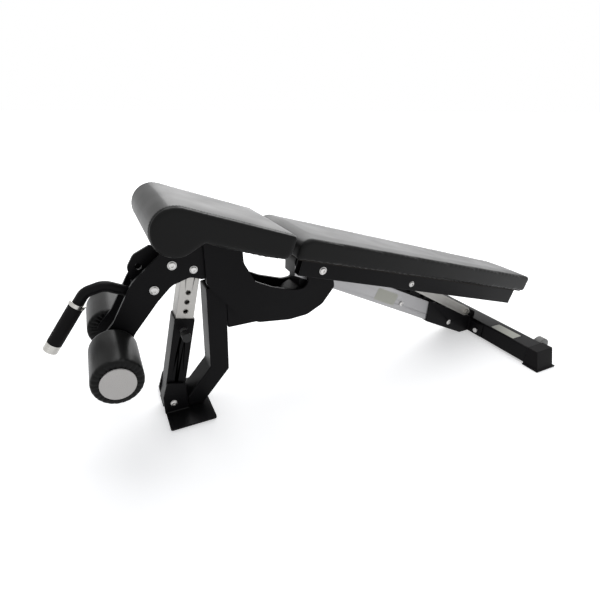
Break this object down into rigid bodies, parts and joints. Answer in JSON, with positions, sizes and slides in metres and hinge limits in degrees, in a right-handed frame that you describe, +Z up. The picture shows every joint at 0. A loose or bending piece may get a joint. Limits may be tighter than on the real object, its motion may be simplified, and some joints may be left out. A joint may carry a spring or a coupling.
{
  "type": "adjustable weight bench",
  "caption": "Adjustable weight bench with a decline seat on a telescopic post, leg rollers, a front handle and a long backrest that locks on a ladder along the frame.",
  "frame": {"origin": "bottom centre of the bounding box, on the floor", "axes": "+X runs from the roller and handle end to the head end, +Y is the far side, +Z is up"},
  "size_m": [1.5045, 0.612, 0.5755],
  "materials": {
    "black_paint": "semi-gloss powder coat",
    "silver_paint": "satin silver powder coat",
    "chrome": "polished chrome plate",
    "zinc": "zinc plated steel",
    "vinyl": "grained vinyl",
    "rubber": "matte moulded rubber",
    "board": "black backed plywood",
    "core_tube": "plain steel tube",
    "cap": "silver moulded plastic",
    "wheel": "grey moulded plastic",
    "plug": "black moulded plastic",
    "bush": "nylon bush"
  },
  "bodies": {
    "base": {"front_foot_plate": "black_paint", "front_foot_rubbers": "rubber", "foot_clevis_plates": "black_paint", "post_foot_pin": "zinc", "front_leg": "black_paint", "base_neck": "black_paint", "spine": "silver_paint", "hinge_bushes": "bush", "hinge_bolts": "zinc", "spine_bolts": "zinc", "rear_socket": "black_paint", "rear_cross_foot": "black_paint", "flange_bolts": "zinc", "rear_boot_near": "rubber", "rear_boot_far": "rubber", "ladder_plates": "black_paint", "ladder_teeth": "black_paint", "wheel_brackets": "black_paint", "wheel_axle_bolts": "zinc"},
    "carriage": {"seat_plate_near": "black_paint", "seat_plate_far": "black_paint", "roller_arm_near": "black_paint", "roller_arm_far": "black_paint", "ear_plate": "black_paint", "plate_spacers": "zinc", "arm_bolts": "zinc", "post_head_pin": "zinc", "seat_cushion": "vinyl", "seat_board": "board", "seat_mount_plate": "black_paint", "seat_screws": "zinc", "handle_tube": "black_paint", "handle_grip": "rubber", "handle_caps": "chrome", "roller_axle": "chrome"},
    "roller_near": {"roller_foam_near": "vinyl", "roller_core_near": "core_tube", "roller_cap_near": "cap"},
    "roller_far": {"roller_foam_far": "vinyl", "roller_core_far": "core_tube", "roller_cap_far": "cap"},
    "post_outer": {"post_outer_tube": "black_paint", "pull_pin_barrel": "zinc"},
    "post_inner": {"post_inner_tube": "chrome"},
    "pull_pin": {"pull_pin": "chrome", "pull_pin_knob": "plug"},
    "backrest": {"back_cushion": "vinyl", "back_board": "board", "back_rail_near": "black_paint", "back_rail_far": "black_paint", "back_rail_plugs": "plug", "back_ties": "black_paint", "back_hinge_lugs": "black_paint", "back_screws": "zinc", "strut_pin": "zinc"},
    "strut": {"strut_bars": "black_paint", "strut_sleeve": "black_paint", "strut_rod": "chrome"},
    "wheel_near": {"wheel_near": "wheel"},
    "wheel_far": {"wheel_far": "wheel"}
  },
  "joints": [
    {"name": "seat_decline", "type": "hinge", "parent": "base", "child": "carriage", "pos_m": [-0.06524, 0, 0.348], "axis": [0, -1, 0], "range_deg": [0, 17]},
    {"name": "post_swing", "type": "hinge", "parent": "base", "child": "post_outer", "pos_m": [-0.49124, 0, 0.035], "axis": [0, -1, 0], "range_deg": [-4.5, 0]},
    {"name": "post_slide", "type": "slide", "parent": "post_outer", "child": "post_inner", "axis": [0.2175, 0, 0.9761], "range_m": [-0.102, 0]},
    {"name": "pin_pull", "type": "slide", "parent": "post_outer", "child": "pull_pin", "axis": [0, -1, 0], "range_m": [0, 0.008], "stiffness_N_per_m": 1500, "springref_m": -0.004},
    {"name": "roller_near_spin", "type": "hinge", "parent": "carriage", "child": "roller_near", "pos_m": [-0.60974, -0.116, 0.245], "axis": [0, 1, 0], "continuous": true},
    {"name": "roller_far_spin", "type": "hinge", "parent": "carriage", "child": "roller_far", "pos_m": [-0.60974, 0.116, 0.245], "axis": [0, 1, 0], "continuous": true},
    {"name": "back_recline", "type": "hinge", "parent": "base", "child": "backrest", "pos_m": [-0.12724, 0, 0.38], "axis": [0, -1, 0], "range_deg": [0, 87]},
    {"name": "strut_swing", "type": "hinge", "parent": "backrest", "child": "strut", "pos_m": [0.21775, 0, 0.27352], "axis": [0, -1, 0], "range_deg": [-146, 0]},
    {"name": "wheel_near_spin", "type": "hinge", "parent": "base", "child": "wheel_near", "pos_m": [0.67476, -0.23, 0.032], "axis": [0, 1, 0], "continuous": true},
    {"name": "wheel_far_spin", "type": "hinge", "parent": "base", "child": "wheel_far", "pos_m": [0.67476, 0.23, 0.032], "axis": [0, 1, 0], "continuous": true}
  ],
  "couplings": [
    {"joint": "post_swing", "follows": "seat_decline", "ratio": -0.22},
    {"joint": "post_slide", "follows": "seat_decline", "m_per_rad": -0.337},
    {"joint": "strut_swing", "follows": "back_recline", "ratio": -1.6694}
  ]
}
